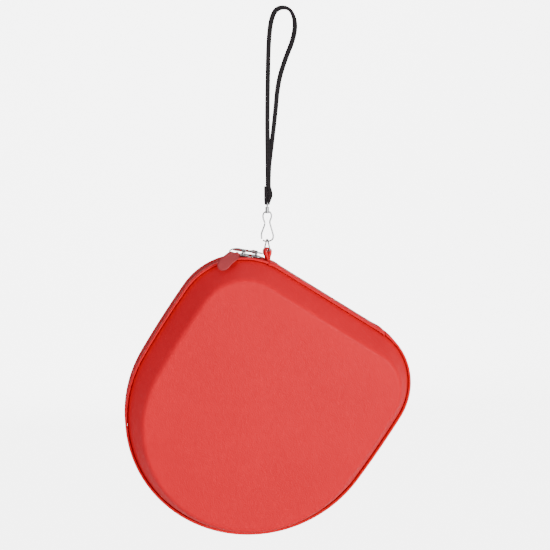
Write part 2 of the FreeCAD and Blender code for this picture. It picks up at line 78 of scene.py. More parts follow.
FRONT_SLIDER, BACK_SLIDER = 121.0, 111.0
FRONT_HOLD = Vector((-36.679, -5.331, -184.26))
BACK_HOLD = Vector((-21.678, 10.734, -186.269))
FOLD_RADIUS, FOLD_WIDTH, FOLD_THICK, FOLD_STEPS = 1.15, 3.3, 0.62, 21

NET_TOP, NET_EDGE, NET_HEIGHT, NET_BELLY = 5.0, 0.4, 20.2, 1.3
NET_ROWS, NET_COLUMNS = 32, 40
PATCH_FROM, PATCH_LONG, PATCH_STEPS = 60.1, 15.8, 15

GROUND, SWEEP_RADIUS, SWEEP_BACK = -0.52, 0.5, 1.6
PAPER_GLOW, ROOM_GLOW = 5.0, 0.38

CORD_ROUTE = [
    (-0.0124, -0.0016, -0.133),
    (-0.0124, -0.0016, -0.121),
    (-0.0129, -0.0014, -0.085),
    (-0.0123, -0.001, -0.045),
    (-0.0116, -0.0006, -0.022),
    (-0.0098, -0.0003, -0.007),
    (-0.0055, 0.0, 0.0015),
    (0.0045, 0.0, 0.0015),
    (0.009, 0.0003, -0.009),
    (0.0072, 0.0005, -0.022),
    (0.0012, 0.0007, -0.036),
    (-0.0044, 0.001, -0.054),
    (-0.0064, 0.0013, -0.078),
    (-0.0096, 0.0015, -0.105),
    (-0.0116, 0.0016, -0.121),
    (-0.0116, 0.0016, -0.133),
]


# ---------------------------------------------------------------- properties


def length_prop(name, description, default, small=0.0):
    """A length in metres that a user may change."""
    return FloatProperty(
        name=name, description=description, default=default, min=small, unit="LENGTH", precision=5
    )


def colour_prop(name, description, default):
    """A base colour that a user may change."""
    return FloatVectorProperty(
        name=name, description=description, default=default, size=3, min=0, max=1, subtype="COLOR"
    )


class PaddleCaseSizes(bpy.types.PropertyGroup):
    """Sizes of the moulded halves."""

    bottom_radius: length_prop("Bottom radius", "Radius of the round end of the rim", 0.1033)
    corner_radius: length_prop("Corner radius", "Radius of the two corners by the spine", 0.0542)
    corner_across: length_prop("Corner across", "Corner centre from the middle line", 0.0493)
    corner_up: length_prop("Corner up", "Corner centre above the round end's centre", 0.0558)
    side_radius: length_prop("Side radius", "Radius of the slightly bowed sides", 0.8)
    face_bottom_radius: length_prop("Face bottom radius", "Round end of the raised face", 0.0895)
    face_drop: length_prop("Face drop", "How far the raised face's round end sits down", 0.0038)
    face_corner_radius: length_prop("Face corner radius", "Corners of the raised face", 0.037)
    face_corner_across: length_prop("Face corner across", "Face corner from the middle", 0.053)
    face_corner_up: length_prop("Face corner up", "Face corner's height", 0.0595)
    half_depth: length_prop("Half depth", "Depth of one half from the zipper", 0.0275)
    root_height: length_prop("Root height", "Where the wall starts above the zipper", 0.0048)
    root_inset: length_prop("Root inset", "How far the wall's foot stands in from the rim", 0.00195)
    edge_softness: length_prop("Edge softness", "Width of the rounding round the face", 0.0032)


class PaddleCaseTrim(bpy.types.PropertyGroup):
    """Sizes of the zipper, stitches, pull tongues and strap."""

    tooth_pitch: length_prop("Tooth pitch", "Spacing of the zipper coil's turns", 0.0014, 0.0008)
    stitch_pitch: length_prop("Stitch pitch", "Spacing of the stitches", 0.0026, 0.001)
    strap_width: length_prop("Strap width", "Width of the flat braid", 0.0038, 0.001)
    strap_thickness: length_prop("Strap thickness", "Thickness of the flat braid", 0.0019, 0.001)
    tongue_width: length_prop("Tongue width", "Width of a leather pull tongue", 0.0093, 0.004)
    rim_samples: IntProperty(
        name="Rim samples", description="Steps round the rim", default=460, min=120, max=900
    )


class PaddleCaseColours(bpy.types.PropertyGroup):
    """Base colours of the finishes."""

    red: colour_prop("Red", "Coated fabric of the halves", (0.98, 0.003, 0.02))
    pull: colour_prop("Pull", "Leather of the pull tongues", (0.52, 0.06, 0.07))
    tape: colour_prop("Tape", "Zipper tape and coil", (0.56, 0.018, 0.022))
    black: colour_prop("Black", "Braid of the wrist strap", (0.021, 0.0175, 0.0195))
    metal: colour_prop("Metal", "Plated wire", (0.5, 0.5, 0.51))


# ---------------------------------------------------------------- places


def hang(x, y, z=0.0):
    """A point of the case plane (across, towards the spine, out of the front) as it hangs."""
    cos, sin = math.cos(HANG_ANGLE), math.sin(HANG_ANGLE)
    return Vector((cos * x - sin * y + CASE_X, -z, sin * x + cos * y + CASE_Z)) * MM


def mixed(a, b, share):
    """Two lists of plane points mixed by a share."""
    return [p.lerp(q, share) for p, q in zip(a, b)]


def arc(centre, radius, start, end, count):
    """Points of an arc that turns from one point to another, without its last point."""
    first = math.atan2(start.y - centre.y, start.x - centre.x)
    last = math.atan2(end.y - centre.y, end.x - centre.x)
    last += 2 * math.pi if last < first else 0.0
    turns = [first + (last - first) * step / count for step in range(count)]
    return [centre + radius * Vector((math.cos(turn), math.sin(turn))) for turn in turns]


def outline(sizes, face, inset, fine=1):
    """The rim's outline, or the raised face's, set in, all the way round from the foot's left."""
    kind = "face_" if face else ""
    drop = sizes.face_drop / MM if face else 0.0
    side_r = sizes.side_radius / MM - inset
    bottom_r = getattr(sizes, kind + "bottom_radius") / MM - inset
    corner_r = getattr(sizes, kind + "corner_radius") / MM - inset
    corner = Vector(
        (getattr(sizes, kind + "corner_across") / MM, getattr(sizes, kind + "corner_up") / MM)
    )
    foot = Vector((0.0, -drop))
    to_corner = corner - foot
    spacing, unit = to_corner.length, to_corner.normalized()
    along = ((side_r - bottom_r) ** 2 - (side_r - corner_r) ** 2 + spacing**2) / (2 * spacing)
    off = math.sqrt((side_r - bottom_r) ** 2 - along**2)
    centre = foot + unit * along + Vector((-unit.y, unit.x)) * off
    low = foot + (foot - centre).normalized() * bottom_r
    high = corner + (corner - centre).normalized() * corner_r
    top = corner + Vector((0.0, corner_r))

    def flip(point):
        return Vector((-point.x, point.y))

    counts = [number * fine for number in (84, 14, 38, 36)]
    straight = [top.lerp(flip(top), step / counts[3]) for step in range(counts[3])]
    return (
        arc(foot, bottom_r, flip(low), low, counts[0])
        + arc(centre, side_r, low, high, counts[1])
        + arc(corner, corner_r, high, top, counts[2])
        + straight
        + arc(flip(corner), corner_r, flip(top), flip(high), counts[2])
        + arc(flip(centre), side_r, flip(high), flip(low), counts[1])
    )


def evenly(points, count):
    """A line of plane points walked in equal steps."""
    lengths = [0.0]
    for here, after in zip(points, points[1:]):
        lengths.append(lengths[-1] + (after - here).length)
    result, index = [], 0
    for step in range(count):
        want = lengths[-1] * step / (count - 1)
        while index < len(points) - 2 and lengths[index + 1] < want:
            index += 1
        run = max(lengths[index + 1] - lengths[index], 1e-9)
        result.append(points[index].lerp(points[index + 1], (want - lengths[index]) / run))
    return result


def rim_run(sizes, count, over_spine):
    """The rim's line round the zipper, or over the spine, from junction to junction."""
    ring = outline(sizes, False, 0.0, 8)

    def on_spine(point):
        return point.y > SPINE_Y - SPINE_REACH and STRIP_LEFT < point.x < STRIP_RIGHT

    flags = [on_spine(point) is over_spine for point in ring]
    first = next(i for i in range(len(ring)) if flags[i] and not flags[i - 1])
    ring, flags = ring[first:] + ring[:first], flags[first:] + flags[:first]
    return evenly([point for point, flag in zip(ring, flags) if flag], count)


def outward(run):
    """Unit directions that point out of the rim at each step of a run."""
    result = []
    for index in range(len(run)):
        along = run[min(index + 1, len(run) - 1)] - run[max(index - 1, 0)]
        result.append(Vector((along.y, -along.x)).normalized())
    return result


# ---------------------------------------------------------------- meshes


def piece(name, mesh, material=None):
    """A new object that holds a mesh, smooth shaded."""
    mesh.name = name
    obj = bpy.data.objects.new(name, mesh)
    bpy.context.scene.collection.objects.link(obj)
    for polygon in mesh.polygons:
        polygon.use_smooth = True
    if material:
        mesh.materials.clear()
        mesh.materials.append(material)
    return obj


def outside_out(bm, name):
    """A closed bmesh turned so that its faces point outwards, as a mesh."""
    bmesh.ops.recalc_face_normals(bm, faces=bm.faces)
    mesh = bpy.data.meshes.new(name)
    bm.to_mesh(mesh)
    bm.free()
    return mesh


def bridge(bm, here, after):
    """Faces all the way round between two rings of corners."""
    for j, corner in enumerate(here):
        k = (j + 1) % len(here)
        bm.faces.new((corner, here[k], after[k], after[j]))


def domed(bm, row, place):
    """A fan of faces from a ring of corners to one pole."""
    pole = bm.verts.new(place)
    for j, corner in enumerate(row):
        bm.faces.new((corner, row[(j + 1) % len(row)], pole))


def centre_of(row):
    """The mean place of a ring of corners."""
    return sum((corner.co for corner in row), Vector()) / len(row)


def tube_mesh(name, rings, closed_path=False, uv_step=None):
    """A closed skin over rings of equal length, capped at both ends unless the path closes."""
    bm = bmesh.new()
    uv = bm.loops.layers.uv.new("along")
    rows = [[bm.verts.new(point) for point in ring] for ring in rings]
    sides, count = len(rows[0]), len(rows)
    for i in range(count if closed_path else count - 1):
        here, after = rows[i], rows[(i + 1) % count]
        for j in range(sides):
            k = (j + 1) % sides
            face = bm.faces.new((here[j], here[k], after[k], after[j]))
            step = uv_step or 1.0 / count
            corners = ((i, j), (i, j + 1), (i + 1, j + 1), (i + 1, j))
            for loop, (a, b) in zip(face.loops, corners):
                loop[uv].uv = (a * step, b / sides)
    if not closed_path:
        for row in (rows[0], rows[-1]):
            domed(bm, row, centre_of(row))
    return outside_out(bm, name)


def oval(count, power=2.0):
    """Unit points round an oval; a higher power makes it squarer."""
    points = []
    for step in range(count):
        turn = 2 * math.pi * (step + 0.5) / count
        c, s = math.cos(turn), math.sin(turn)
        points.append(
            (
                math.copysign(abs(c) ** (2 / power), c),
                math.copysign(abs(s) ** (2 / power), s),
            )
        )
    return points


def strip_mesh(name, centres, normals, widths, thicknesses, sides=20, power=5.0):
    """A flat strip along a line, with its own width and thickness at each step, in mm."""
    shape, rings, length = oval(sides, power), [], 0.0
    for i, centre in enumerate(centres):
        along = (centres[min(i + 1, len(centres) - 1)] - centres[max(i - 1, 0)]).normalized()
        normal = (normals[i] - along * normals[i].dot(along)).normalized()
        across = along.cross(normal)
        half_w, half_t = widths[i] / 2, thicknesses[i] / 2
        rings.append([(centre + across * a * half_w + normal * b * half_t) * MM for a, b in shape])
        length += (centre - centres[i - 1]).length if i else 0.0
    return tube_mesh(name, rings, uv_step=length / len(centres) / 10)


def band_mesh(name, run, section, side, closed=False):
    """A band swept round the rim; section gives (inset, height) pairs at each step."""
    rings = []
    for index, (point, out) in enumerate(zip(run, outward(run))):
        places = section(index / (len(run) - 1))
        rings.append([hang(*(point - out * inset), side * height) for inset, height in places])
    step = (run[1] - run[0]).length / 10
    return tube_mesh(name, rings, closed, uv_step=step)


def finished(obj, body, slot, *stands_for):
    """Sit a piece on its body and hide the CAD nodes it stands for; the finish's slot is not used."""
    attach(obj, body)
    if stands_for:
        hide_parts(*stands_for)


# ---------------------------------------------------------------- repeated details


def repeat_tree():
    """Geometry Nodes: small rounded beads in equal steps along a line of edges."""
    tree = bpy.data.node_groups.get("beads_along")
    if tree:
        return tree
    tree = bpy.data.node_groups.new("beads_along", "GeometryNodeTree")
    face = tree.interface
    face.new_socket("Geometry", in_out="INPUT", socket_type="NodeSocketGeometry")
    for name, default in (
        ("Pitch", 0.0026),
        ("Along", 0.0019),
        ("Across", 0.0007),
        ("High", 0.0006),
        ("Slant", 0.0),
    ):
        socket = face.new_socket(name, in_out="INPUT", socket_type="NodeSocketFloat")
        socket.default_value = default
    face.new_socket("Finish", in_out="INPUT", socket_type="NodeSocketMaterial")
    face.new_socket("Geometry", in_out="OUTPUT", socket_type="NodeSocketGeometry")
    add, link = tree.nodes.new, tree.links.new
    given, out = add("NodeGroupInput"), add("NodeGroupOutput")
    line, points = add("GeometryNodeMeshToCurve"), add("GeometryNodeCurveToPoints")
    points.mode = "LENGTH"
    bead = add("GeometryNodeMeshUVSphere")
    bead.inputs["Segments"].default_value = 8
    bead.inputs["Rings"].default_value = 5
    bead.inputs["Radius"].default_value = 0.5
    size = add("ShaderNodeCombineXYZ")
    aim, level = add("FunctionNodeAlignRotationToVector"), add("FunctionNodeAlignRotationToVector")
    aim.axis, level.axis, level.pivot_axis = "Z", "X", "Z"
    level.inputs["Vector"].default_value = (0, 1, 0)
    tilt = add("ShaderNodeCombineXYZ")
    slant = add("FunctionNodeRotateRotation")
    slant.rotation_space = "LOCAL"
    place = add("GeometryNodeInstanceOnPoints")
    real, coat = add("GeometryNodeRealizeInstances"), add("GeometryNodeSetMaterial")
    smooth = add("GeometryNodeSetShadeSmooth")
    link(given.outputs["Geometry"], line.inputs["Mesh"])
    link(line.outputs["Curve"], points.inputs["Curve"])
    link(given.outputs["Pitch"], points.inputs["Length"])
    link(points.outputs["Tangent"], aim.inputs["Vector"])
    link(aim.outputs["Rotation"], level.inputs["Rotation"])
    link(given.outputs["Slant"], tilt.inputs["Y"])
    link(level.outputs["Rotation"], slant.inputs["Rotation"])
    link(tilt.outputs["Vector"], slant.inputs["Rotate By"])
    for name, axis in (("Across", "X"), ("High", "Y"), ("Along", "Z")):
        link(given.outputs[name], size.inputs[axis])
    link(points.outputs["Points"], place.inputs["Points"])
    link(bead.outputs["Mesh"], place.inputs["Instance"])
    link(slant.outputs["Rotation"], place.inputs["Rotation"])
    link(size.outputs["Vector"], place.inputs["Scale"])
    link(place.outputs["Instances"], smooth.inputs["Geometry"])
    link(smooth.outputs["Geometry"], real.inputs["Geometry"])
    link(real.outputs["Geometry"], coat.inputs["Geometry"])
    link(given.outputs["Finish"], coat.inputs["Material"])
    link(coat.outputs["Geometry"], out.inputs["Geometry"])
    return tree


def beads(name, lines, material, **sizes):
    """Beads along lines of points in metres, as one plain mesh object."""
    mesh = bpy.data.meshes.new(name + "_line")
    points = [point for line in lines for point in line]
    edges, start = [], 0
    for line in lines:
        edges += [(start + i, start + i + 1) for i in range(len(line) - 1)]
        start += len(line)
    mesh.from_pydata(points, edges, [])
    guide = bpy.data.objects.new(name + "_guide", mesh)
    bpy.context.scene.collection.objects.link(guide)
    modifier = guide.modifiers.new("beads", "NODES")
    modifier.node_group = repeat_tree()
    for item in modifier.node_group.interface.items_tree:
        if item.in_out == "INPUT" and item.name in sizes:
            modifier[item.identifier] = sizes[item.name]
        elif item.in_out == "INPUT" and item.name == "Finish":
            modifier[item.identifier] = material
    graph = bpy.context.evaluated_depsgraph_get()
    made = bpy.data.meshes.new_from_object(guide.evaluated_get(graph), depsgraph=graph)
    bpy.data.objects.remove(guide)
    return piece(name, made)


# ---------------------------------------------------------------- materials


def group_tree(name, inputs, outputs):
    """A shader node group with named sockets, and its input and output nodes."""
    tree = bpy.data.node_groups.new(name, "ShaderNodeTree")
    for label, kind, default in inputs:
        socket = tree.interface.new_socket(label, in_out="INPUT", socket_type=kind)
        if default is not None:
            socket.default_value = default
    for label, kind in outputs:
        tree.interface.new_socket(label, in_out="OUTPUT", socket_type=kind)
    return tree, tree.nodes.new("NodeGroupInput"), tree.nodes.new("NodeGroupOutput")


def maths(tree, operation, first, second):
    """A Math node of two values, either of which may be a socket or a number."""
    node = tree.nodes.new("ShaderNodeMath")
    node.operation = operation
    for socket, value in zip(node.inputs, (first, second)):
        if isinstance(value, (int, float)):
            socket.default_value = value
        else:
            tree.links.new(value, socket)
    return node.outputs[0]


FLOAT, VECTOR = "NodeSocketFloat", "NodeSocketVector"


def grain_group():
    """Fine pebbled grain with faint slanting threads, and slow clouding for colour."""
    tree = bpy.data.node_groups.get("coated_grain")
    if tree:
        return tree
    inputs = [("Vector", VECTOR, None), ("Pebble", FLOAT, 900.0), ("Thread", FLOAT, 420.0)]
    outputs = [("Height", FLOAT), ("Cloud", FLOAT), ("Rough", FLOAT)]
    tree, given, out = group_tree("coated_grain", inputs, outputs)
    add, link = tree.nodes.new, tree.links.new
    pebble, wave = add("ShaderNodeTexVoronoi"), add("ShaderNodeTexWave")
    cloud, fine = add("ShaderNodeTexNoise"), add("ShaderNodeTexNoise")
    turn = add("ShaderNodeMapping")
    turn.inputs["Rotation"].default_value = (0.0, 0.9, 0.35)
    wave.inputs["Distortion"].default_value = 2.5
    wave.inputs["Detail"].default_value = 2.0
    cloud.inputs["Scale"].default_value = 26.0
    cloud.inputs["Detail"].default_value = 4.0
    fine.inputs["Scale"].default_value = 380.0
    fine.inputs["Detail"].default_value = 3.0
    for node in (pebble, cloud, turn, fine):
        link(given.outputs["Vector"], node.inputs["Vector"])
    link(turn.outputs["Vector"], wave.inputs["Vector"])
    link(given.outputs["Pebble"], pebble.inputs["Scale"])
    link(given.outputs["Thread"], wave.inputs["Scale"])
    threads = maths(tree, "MULTIPLY", wave.outputs["Fac"], 0.35)
    raised = maths(tree, "ADD", maths(tree, "MULTIPLY", pebble.outputs["Distance"], 0.8), threads)
    noise = fine.outputs["Fac"]
    link(maths(tree, "ADD", raised, maths(tree, "MULTIPLY", noise, 0.5)), out.inputs["Height"])
    link(cloud.outputs["Fac"], out.inputs["Cloud"])
    link(maths(tree, "ADD", maths(tree, "MULTIPLY", noise, 0.18), 0.42), out.inputs["Rough"])
    return tree


def weave_group():
    """Crossing threads, over and under, on a surface's own map or its position."""
    tree = bpy.data.node_groups.get("crossing_weave")
    if tree:
        return tree
    inputs = [("Vector", VECTOR, None), ("Warp", FLOAT, 60.0), ("Weft", FLOAT, 60.0)]
    tree, given, out = group_tree("crossing_weave", inputs, [("Height", FLOAT), ("Shade", FLOAT)])
    add, link = tree.nodes.new, tree.links.new
    parts = add("ShaderNodeSeparateXYZ")
    link(given.outputs["Vector"], parts.inputs[0])
    warp = maths(tree, "MULTIPLY", parts.outputs[0], given.outputs["Warp"])
    weft = maths(tree, "MULTIPLY", parts.outputs[1], given.outputs["Weft"])
    plus = maths(tree, "SINE", maths(tree, "ADD", warp, weft), 0.0)
    minus = maths(tree, "SINE", maths(tree, "SUBTRACT", warp, weft), 0.0)
    crossed = maths(tree, "MULTIPLY", plus, minus)
    link(maths(tree, "ABSOLUTE", crossed, 0.0), out.inputs["Height"])
    shade = maths(tree, "ADD", maths(tree, "MULTIPLY", crossed, 0.3), 0.6)
    link(shade, out.inputs["Shade"])
    return tree


def material_of(name, colour, rough=0.5, metallic=0.0):
    """A new material with its tree, its shader and a source of coordinates."""
    made = bpy.data.materials.new(name)
    made.use_nodes = True
    shader = made.node_tree.nodes["Principled BSDF"]
    shader.inputs["Base Color"].default_value = (*colour, 1.0)
    shader.inputs["Roughness"].default_value = rough
    shader.inputs["Metallic"].default_value = metallic
    made.diffuse_color = (*colour, 1.0)
    where = made.node_tree.nodes.new("ShaderNodeTexCoord")
    return made, made.node_tree, shader, where


def shaded(tree, shader, factor, dark, light):
    """Colour that goes from dark to light with a factor."""
    ramp = tree.nodes.new("ShaderNodeValToRGB")
    ramp.color_ramp.elements[0].color = (*dark, 1.0)
    ramp.color_ramp.elements[1].color = (*light, 1.0)
    ramp.color_ramp.elements[0].position = 0.25
    ramp.color_ramp.elements[1].position = 0.75
    tree.links.new(factor, ramp.inputs[0])
    tree.links.new(ramp.outputs[0], shader.inputs["Base Color"])


def bumped(tree, shader, height, distance, strength=1.0):
    """Relief from a height, on the shader's normal."""
    bump = tree.nodes.new("ShaderNodeBump")
    bump.inputs["Distance"].default_value = distance
    bump.inputs["Strength"].default_value = strength
    tree.links.new(height, bump.inputs["Height"])
    tree.links.new(bump.outputs["Normal"], shader.inputs["Normal"])


def scaled(colour, factor):
    """A colour made darker or lighter."""
    return tuple(min(1.0, channel * factor) for channel in colour)


def leather(name, colour, rough, relief, spread, pebble=900.0):
    """Coated fabric or leather with grain, clouding and a soft sheen."""
    made, tree, shader, where = material_of(name, colour, rough)
    grain = tree.nodes.new("ShaderNodeGroup")
    grain.node_tree = grain_group()
    grain.inputs["Pebble"].default_value = pebble
    tree.links.new(where.outputs["Object"], grain.inputs["Vector"])
    dark, light = scaled(colour, 1 - spread), scaled(colour, 1 + spread)
    shaded(tree, shader, grain.outputs["Cloud"], dark, light)
    tree.links.new(grain.outputs["Rough"], shader.inputs["Roughness"])
    bumped(tree, shader, grain.outputs["Height"], relief)
    shader.inputs["Specular IOR Level"].default_value = 0.22
    return made


def cloth(name, colour, warp, weft, relief, own_map=True):
    """Woven or braided cloth, on the surface's own map or its position."""
    made, tree, shader, where = material_of(name, colour, 0.85)
    weave = tree.nodes.new("ShaderNodeGroup")
    weave.node_tree = weave_group()
    weave.inputs["Warp"].default_value = warp
    weave.inputs["Weft"].default_value = weft
    tree.links.new(where.outputs["UV" if own_map else "Object"], weave.inputs["Vector"])
    shaded(tree, shader, weave.outputs["Shade"], scaled(colour, 0.55), scaled(colour, 1.35))
    bumped(tree, shader, weave.outputs["Height"], relief)
    shader.inputs["Sheen Weight"].default_value = 0.04
    shader.inputs["Specular IOR Level"].default_value = 0.2
    return made


def plated(name, colour, rough):
    """Bright plating with faint drawing marks and wear."""
    made, tree, shader, where = material_of(name, colour, rough, 1.0)
    marks = tree.nodes.new("ShaderNodeTexNoise")
    marks.inputs["Scale"].default_value = 900.0
    marks.inputs["Detail"].default_value = 4.0
    tree.links.new(where.outputs["Object"], marks.inputs["Vector"])
    noise = marks.outputs[0]
    rough_value = maths(tree, "ADD", maths(tree, "MULTIPLY", noise, 0.22), rough - 0.06)
    tree.links.new(rough_value, shader.inputs["Roughness"])
    shaded(tree, shader, noise, scaled(colour, 0.85), scaled(colour, 1.1))
    bumped(tree, shader, noise, 0.00002, 0.4)
    return made


def foam_material():
    """Dense moulded foam with small open cells, with painted shade that darkens the cells' hollows.
    """
    made, tree, shader, where = material_of("foam_cells", (0.04, 0.04, 0.045), 0.9)
    cells = tree.nodes.new("ShaderNodeTexVoronoi")
    cells.inputs["Scale"].default_value = 1400.0
    tree.links.new(where.outputs["Object"], cells.inputs["Vector"])
    # Painted shade: the cells' hollows are coloured darker than their walls, following the same
    # height as the bump.
    shaded(tree, shader, cells.outputs["Distance"], (0.025, 0.025, 0.028), (0.06, 0.06, 0.066))
    bumped(tree, shader, cells.outputs["Distance"], 0.0001)
    return made


def net_material(colour):
    """Open diamond net: threads stay and the gaps are clear."""
    made, tree, shader, where = material_of("open_net", colour, 0.8)
    parts = tree.nodes.new("ShaderNodeSeparateXYZ")
    tree.links.new(where.outputs["Object"], parts.inputs[0])
    masks = []
    for operation in ("ADD", "SUBTRACT"):
        slant = maths(tree, operation, parts.outputs[0], parts.outputs[2])
        wave = maths(tree, "SINE", maths(tree, "MULTIPLY", slant, 1250.0), 0.0)
        masks.append(maths(tree, "LESS_THAN", maths(tree, "ABSOLUTE", wave, 0.0), 0.34))
    thread = maths(tree, "MAXIMUM", *masks)
    tree.links.new(thread, shader.inputs["Alpha"])
    shaded(tree, shader, thread, scaled(colour, 0.7), scaled(colour, 1.2))
    bumped(tree, shader, thread, 0.0002)
    return made


MATERIALS = {}


def make_materials(colours):
    """Every finish of the case, once."""
    red, black = tuple(colours.red), tuple(colours.black)
    MATERIALS.update(
        red=leather("coated_fabric_red", red, 0.5, 0.00012, 0.045),
        trim=leather("coated_trim_red", scaled(red, 1.04), 0.45, 0.00006, 0.03, 1400.0),
        pull=leather("pull_leather", tuple(colours.pull), 0.55, 0.0001, 0.08, 1100.0),
        tape=cloth("zip_tape_weave", tuple(colours.tape), 55.0, 34.0, 0.00012),
        coil=leather("nylon_coil", scaled(tuple(colours.tape), 0.9), 0.4, 0.00003, 0.03),
        thread=leather("sewing_thread", scaled(red, 0.82), 0.6, 0.00003, 0.05, 2500.0),
        dark_thread=leather("dark_thread", scaled(black, 1.3), 0.7, 0.00003, 0.05, 2500.0),
        lining=cloth("knitted_lining", (0.03, 0.03, 0.034), 2600.0, 2600.0, 0.00012, False),
        foam=foam_material(),
        net=net_material((0.03, 0.03, 0.034)),
        elastic=cloth("woven_elastic", (0.028, 0.028, 0.032), 90.0, 60.0, 0.00015),
        braid=cloth("flat_braid", black, 19.0, 25.0, 0.00015),
        wire=plated("plated_wire", tuple(colours.metal), 0.24),
        slider=plated("slider_plating", scaled(tuple(colours.metal), 0.7), 0.22),
    )


def coat_node(node, finish):
    """Give a CAD node its finish."""
    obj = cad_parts[node]
    obj.data.materials.clear()
    obj.data.materials.append(MATERIALS[finish])


# ---------------------------------------------------------------- the moulded halves


def layer_rings(sizes, depth, side, crown):
    """Rings of one moulded surface, from the wall's foot to the middle of the face."""
    root = sizes.root_height / MM
    full = sizes.half_depth / MM
    soft = sizes.edge_softness / MM
    foot = outline(sizes, False, sizes.root_inset / MM + depth)
    shoulder = outline(sizes, True, depth)
    shoulder_z, top_z = full - 2.0 - depth, full - depth
    wall_end, steps = 0.87, 9
    levels = []
    for step in range(steps + 1):
        share = wall_end * step / steps
        belly = 0.45 * math.sin(math.pi * share) * (1 if depth < 1 else 0)
        ring = mixed(foot, shoulder, share)
        middle = Vector((0.0, 10.0))
        ring = [p + (p - middle).normalized() * belly for p in ring]
        levels.append((ring, root + (shoulder_z - root) * share))
    start, start_z = levels[-1]
    corner = outline(sizes, True, depth + 0.9)
    inner = outline(sizes, True, depth + soft)
    for step in range(1, 8):
        u = step / 7
        first, second, third = (1 - u) ** 2, 2 * u * (1 - u), u * u
        ring = [a * first + b * second + c * third for a, b, c in zip(start, corner, inner)]
        z = start_z * first + top_z * second + top_z * third
        levels.append((ring, z))
    centre = Vector((0.0, 9.0))
    for share in (0.985, 0.96, 0.92, 0.85, 0.75, 0.62, 0.48, 0.34, 0.2, 0.08):
        dip = crown * (1 - share * share)
        levels.append(([centre.lerp(p, share) for p in inner], top_z - dip))
    return [[hang(p.x, p.y, side * z) for p in ring] for ring, z in levels]


def moulded_layer(name, sizes, outer_depth, inner_depth, side, crown=0.0):
    """One closed layer of a moulded half, with a thickness and rounded face edges."""
    bm = bmesh.new()
    walls = []
    for depth in (outer_depth, inner_depth):
        rings = layer_rings(sizes, depth, side, crown)
        rows = [[bm.verts.new(p) for p in ring] for ring in rings]
        for here, after in zip(rows, rows[1:]):
            bridge(bm, here, after)
        domed(bm, rows[-1], centre_of(rows[-1]))
        walls.append(rows[0])
    bridge(bm, *walls)
    return outside_out(bm, name)


def slider_gap(sizes, point):
    """How far the zipper's edge is parted at a point: open only between the two sliders."""
    centre = Vector((-sizes.corner_across / MM, sizes.corner_up / MM))
    turn = math.degrees(math.atan2(point.y - centre.y, point.x - centre.x))
    inside = min(turn - GAP_FROM, GAP_TO - turn)
    return GAP_OPEN * max(0.0, min(1.0, inside / GAP_EASE)) if point.y > centre.y else 0.0


class OBJECT_OT_case_halves(bpy.types.Operator):
    """Skins, foam cores and linings of the lid and the back"""

    bl_idname = "object.case_halves"
    bl_label = "Moulded halves"

    def execute(self, context):
        sizes = context.scene.case_sizes
        layers = (
            ("skin", 0.0, 0.8, "red", "red_leather"),
            ("core", 0.85, 3.4, "foam", "foam"),
            ("lining", 3.45, 4.05, "lining", "lining"),
        )
        for word, side in (("front", 1), ("back", -1)):
            for layer, outer, inner, finish, slot in layers:
                name = f"{word}_{layer}_shell"
                mesh = moulded_layer(name, sizes, outer, inner, side, 0.35)
                obj = piece(name, mesh, MATERIALS[finish])
                finished(obj, f"{word}_half", slot, f"{word}_{layer}")
        return {"FINISHED"}


class OBJECT_OT_case_rim(bpy.types.Operator):
    """Rolled piping and woven zipper tape round the rim of each half"""

    bl_idname = "object.case_rim"
    bl_label = "Piping and zipper tape"

    def execute(self, context):
        sizes, trim = context.scene.case_sizes, context.scene.case_trim
        run = rim_run(sizes, trim.rim_samples, False)
        bead = oval(18, 2.5)

        def piping(share):
            end = min(share, 1 - share)
            swell = 1.0 - 0.12 * math.exp(-((end / 0.004) ** 2))
            return [
                (PIPING_IN - a * PIPING_HALF_IN * swell, PIPING_UP + b * PIPING_HALF_UP * swell)
                for a, b in bead
            ]

        def tape(share):
            low = TAPE_LOW + slider_gap(sizes, run[round(share * (len(run) - 1))])
            middle, half = (low + TAPE_TOP) / 2, (TAPE_TOP - low) / 2
            return [(TAPE_IN + a * TAPE_HALF, middle + b * half) for a, b in oval(20, 6)]

        for word, side in (("front", 1), ("back", -1)):
            for name, section, finish, slot, node in (
                ("rolled_piping", piping, "trim", "red_leather", "piping"),
                ("woven_tape", tape, "tape", "red_tape", "zip_tape"),
            ):
                mesh = band_mesh(name, run, section, side)
                obj = piece(f"{word}_{name}", mesh, MATERIALS[finish])
                finished(obj, f"{word}_half", slot, f"{word}_{node}")
        return {"FINISHED"}


class OBJECT_OT_zip_teeth(bpy.types.Operator):
    """Turns of the zipper coil and the stitches that hold the tape and the piping"""

    bl_idname = "object.zip_teeth"
    bl_label = "Zipper coil and stitches"

    def execute(self, context):
        sizes, trim = context.scene.case_sizes, context.scene.case_trim
        run = rim_run(sizes, trim.rim_samples, False)
        out = outward(run)
        for word, side in (("front", 1), ("back", -1)):
            line = [
                hang(*(p - n * COIL_IN), side * (COIL_UP + slider_gap(sizes, p)))
                for p, n in zip(run, out)
            ]
            coil = beads(
                f"{word}_coil_turns",
                [line],
                MATERIALS["coil"],
                Pitch=trim.tooth_pitch,
                Along=0.0010,
                Across=0.00168,
                High=0.00072,
                Slant=COIL_SLANT * side,
            )
            finished(coil, f"{word}_half", "red_coil", f"{word}_zip_coil")
            seams = [[hang(*(p - n * SEAM_IN), side * SEAM_UP) for p, n in zip(run, out)]]
            stitches = beads(
                f"{word}_tape_stitches",
                seams,
                MATERIALS["thread"],
                Pitch=trim.stitch_pitch,
                Along=0.0019,
                Across=0.00042,
                High=0.00036,
            )
            finished(stitches, f"{word}_half", "red_tape")
        return {"FINISHED"}


